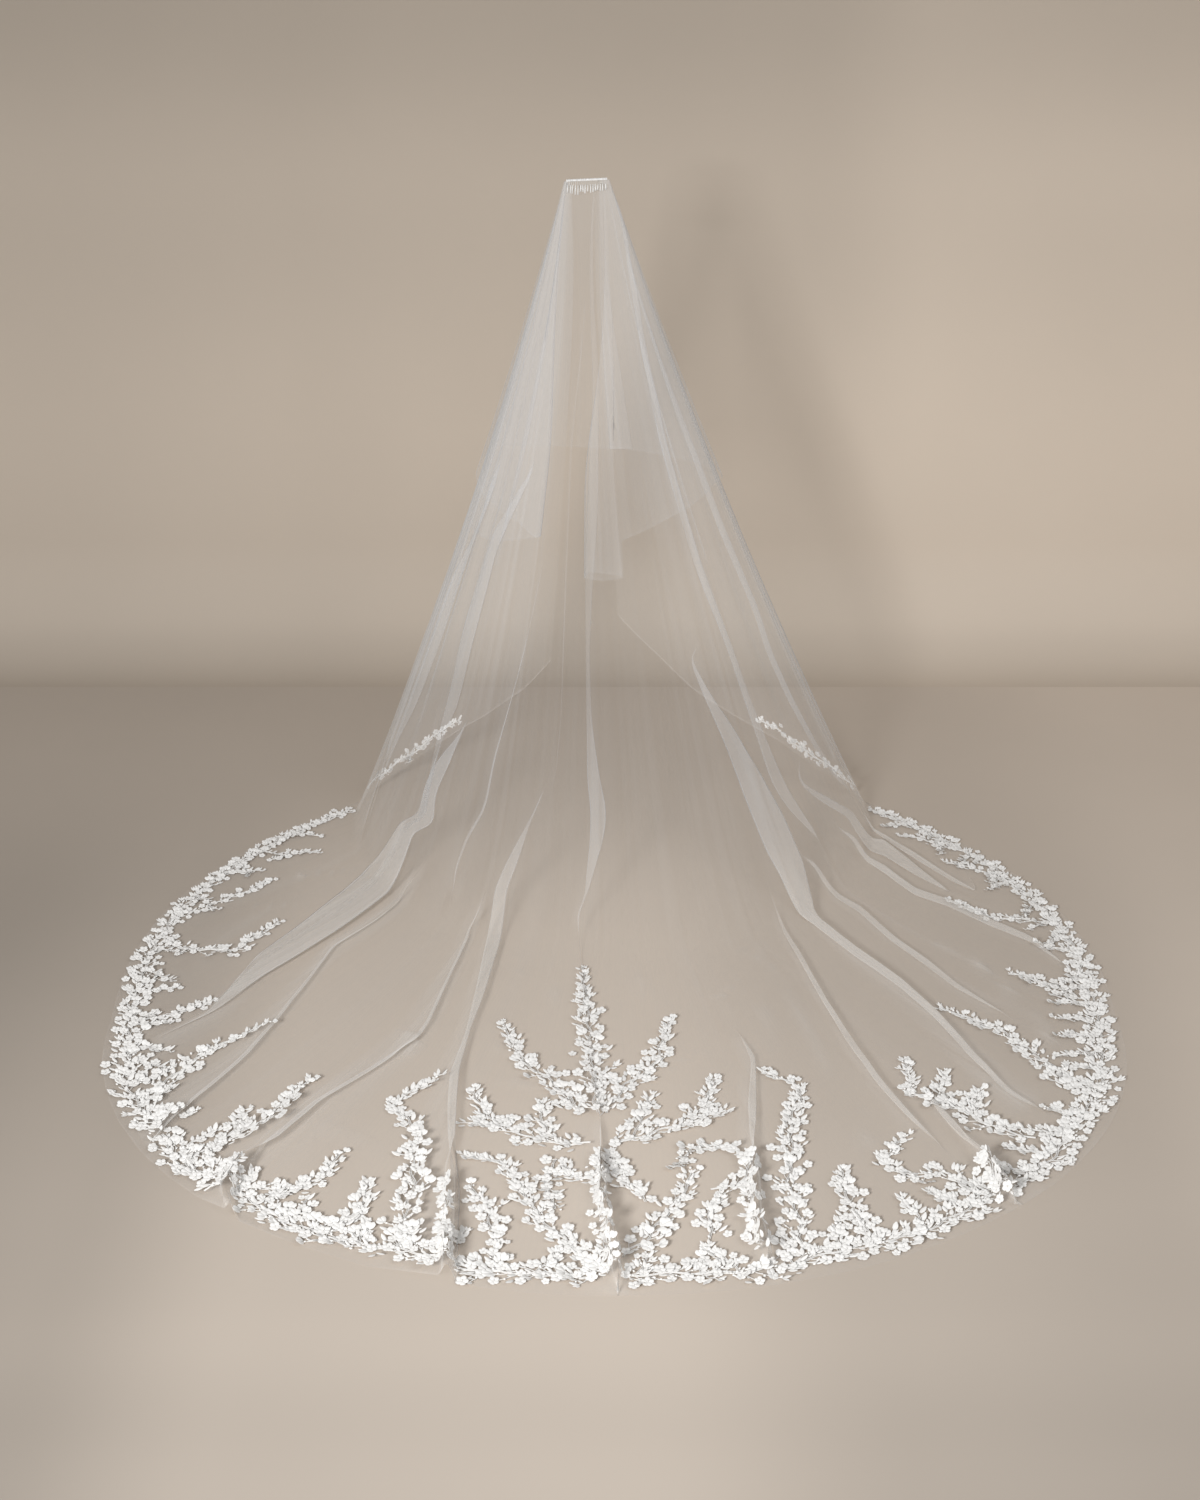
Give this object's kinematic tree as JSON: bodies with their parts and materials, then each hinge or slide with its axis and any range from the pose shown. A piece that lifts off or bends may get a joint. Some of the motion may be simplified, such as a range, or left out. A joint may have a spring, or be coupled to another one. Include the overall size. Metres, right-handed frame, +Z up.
{
  "type": "two-tier bridal veil with lace hem",
  "caption": "Long gathered tulle veil on a hair comb, with a short upper layer, a cutaway front and a train edged with floral lace.",
  "frame": {"origin": "middle of the comb's spine, where the comb is pushed into the hair", "axes": "+Z up, +Y towards the opening at the wearer's face, +X to the right as the veil is seen from behind its train"},
  "size_m": [2.0993, 2.4502, 1.56],
  "materials": {
    "clear_plastic": "moulded clear plastic, glossy",
    "gathered_tulle": "tulle gathered dense and stitched, matt",
    "tulle": "sheer soft tulle net, slightly lustrous",
    "corded_lace": "corded cotton and viscose lace, satin petals"
  },
  "bodies": {
    "root": {"comb": "clear_plastic", "gathered_heading": "gathered_tulle", "train_layer": "tulle", "short_layer": "tulle", "lace_border_left_side": "corded_lace", "lace_border_left": "corded_lace", "lace_border_centre_left": "corded_lace", "lace_border_centre_right": "corded_lace", "lace_border_right": "corded_lace", "lace_border_right_side": "corded_lace", "lace_edge_left": "corded_lace", "lace_edge_right": "corded_lace", "lace_centre": "corded_lace", "lace_fan_left": "corded_lace", "lace_fan_right": "corded_lace", "lace_scroll_left": "corded_lace", "lace_scroll_right": "corded_lace", "lace_branch_left": "corded_lace", "lace_branch_right": "corded_lace", "lace_spray_left_1": "corded_lace", "lace_spray_right_1": "corded_lace", "lace_spray_left_2": "corded_lace", "lace_spray_right_2": "corded_lace", "lace_spray_left_3": "corded_lace", "lace_spray_right_3": "corded_lace", "lace_spray_left_4": "corded_lace", "lace_spray_right_4": "corded_lace", "lace_spray_left_5": "corded_lace", "lace_spray_right_5": "corded_lace", "lace_spray_left_6": "corded_lace", "lace_spray_right_6": "corded_lace", "lace_spray_left_7": "corded_lace", "lace_spray_right_7": "corded_lace"}
  },
  "joints": []
}
